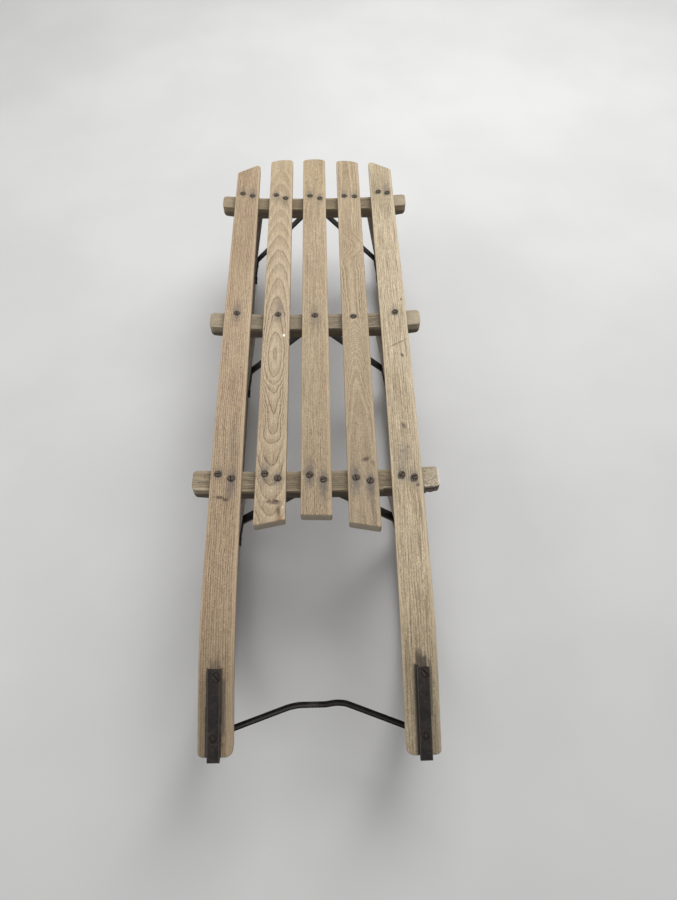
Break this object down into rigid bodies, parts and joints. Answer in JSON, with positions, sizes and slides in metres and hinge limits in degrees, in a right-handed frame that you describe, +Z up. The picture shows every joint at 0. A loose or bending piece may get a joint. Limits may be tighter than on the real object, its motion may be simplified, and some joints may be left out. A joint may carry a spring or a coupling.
{
  "type": "wooden sled",
  "caption": "Old wooden sled with a slatted, dished seat, splayed legs, bent runners shod with iron, flat iron braces and a bowed tow rod between the tips.",
  "frame": {"origin": "centre of the footprint, on the floor under the runner irons", "axes": "+X to the right seen from behind the tow rod looking to the rear, -Y towards the tow rod at the front, +Z up"},
  "size_m": [0.36, 1.134, 0.2354],
  "materials": {
    "slat_wood": "dry weathered ash, worn smooth",
    "beam_wood": "dry weathered ash, greyer",
    "leg_wood": "dry weathered ash",
    "runner_wood": "dry weathered ash, darker",
    "runner_iron": "dark brown patina, rubbed",
    "brace_iron": "black patina",
    "rod_iron": "dark patina, rubbed bright in the middle"
  },
  "bodies": {
    "root": {"slat_1": "slat_wood", "slat_2": "slat_wood", "slat_3": "slat_wood", "slat_4": "slat_wood", "slat_5": "slat_wood", "beam_front": "beam_wood", "beam_middle": "beam_wood", "beam_rear": "beam_wood", "leg_front_left": "leg_wood", "leg_front_right": "leg_wood", "leg_middle_left": "leg_wood", "leg_middle_right": "leg_wood", "leg_rear_left": "leg_wood", "leg_rear_right": "leg_wood", "runner_left": "runner_wood", "runner_right": "runner_wood", "runner_iron_left": "runner_iron", "runner_iron_right": "runner_iron", "brace_front": "brace_iron", "brace_middle": "brace_iron", "brace_rear": "brace_iron", "tow_rod": "rod_iron"}
  },
  "joints": []
}
